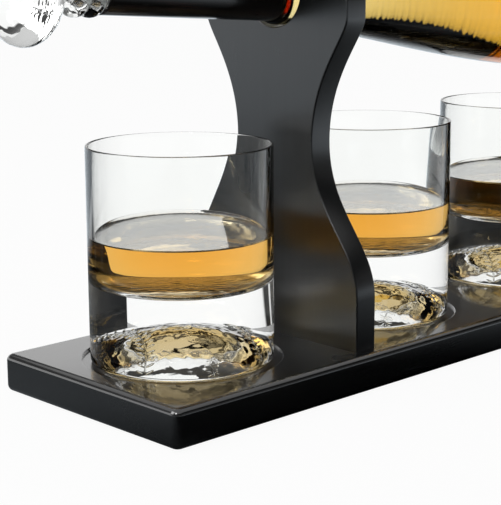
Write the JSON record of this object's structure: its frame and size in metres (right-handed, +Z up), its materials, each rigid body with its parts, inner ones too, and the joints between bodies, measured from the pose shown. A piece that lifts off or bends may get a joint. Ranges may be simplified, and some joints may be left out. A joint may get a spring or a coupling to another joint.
{
  "type": "whisky decanter set",
  "caption": "Bat-shaped glass decanter with a knob stopper and dark grip, lying in two notched uprights on a long black board with glass tumblers in round seats.",
  "frame": {"origin": "middle of the whole set on the surface it stands on", "axes": "+X along the board to the decanter's closed barrel end, -Y to the front, +Z up"},
  "size_m": [0.536, 0.1156, 0.1996],
  "materials": {
    "clear_glass": "polished clear glass",
    "black_wood": "satin black lacquer on wood",
    "grip_wood": "gloss dark lacquer on turned wood",
    "screw_steel": "zinc-plated steel",
    "pad_rubber": "matt rubber",
    "silicone": "translucent silicone"
  },
  "bodies": {
    "stand": {"base_board": "black_wood", "foot_pad_1": "pad_rubber", "foot_pad_2": "pad_rubber", "foot_pad_3": "pad_rubber", "foot_pad_4": "pad_rubber", "neck_upright": "black_wood", "barrel_upright": "black_wood", "neck_screw_front": "screw_steel", "neck_screw_back": "screw_steel", "barrel_screw_front": "screw_steel", "barrel_screw_back": "screw_steel"},
    "decanter": {"bottle_neck": "clear_glass", "bottle_flank": "clear_glass", "bottle_barrel": "clear_glass", "grip_front_half": "grip_wood", "grip_back_half": "grip_wood"},
    "stopper": {"stopper": "clear_glass", "stopper_ring_1": "silicone", "stopper_ring_2": "silicone"},
    "tumbler_1": {"tumbler_1": "clear_glass"},
    "tumbler_2": {"tumbler_2": "clear_glass"},
    "tumbler_3": {"tumbler_3": "clear_glass"},
    "tumbler_4": {"tumbler_4": "clear_glass"}
  },
  "joints": [
    {"name": "decanter_lift", "type": "slide", "parent": "stand", "child": "decanter", "axis": [0, 0, 1], "range_m": [0, 0.08]},
    {"name": "stopper_pull", "type": "slide", "parent": "decanter", "child": "stopper", "axis": [-0.9988, 0, 0.0489], "range_m": [0, 0.06]},
    {"name": "tumbler_1_take_out", "type": "slide", "parent": "stand", "child": "tumbler_1", "axis": [0, -0.9763, 0.2164], "range_m": [0, 0.13]},
    {"name": "tumbler_2_take_out", "type": "slide", "parent": "stand", "child": "tumbler_2", "axis": [0, -0.9763, 0.2164], "range_m": [0, 0.13]},
    {"name": "tumbler_3_take_out", "type": "slide", "parent": "stand", "child": "tumbler_3", "axis": [0, -0.9763, 0.2164], "range_m": [0, 0.13]},
    {"name": "tumbler_4_take_out", "type": "slide", "parent": "stand", "child": "tumbler_4", "axis": [0, -0.9763, 0.2164], "range_m": [0, 0.13]}
  ]
}
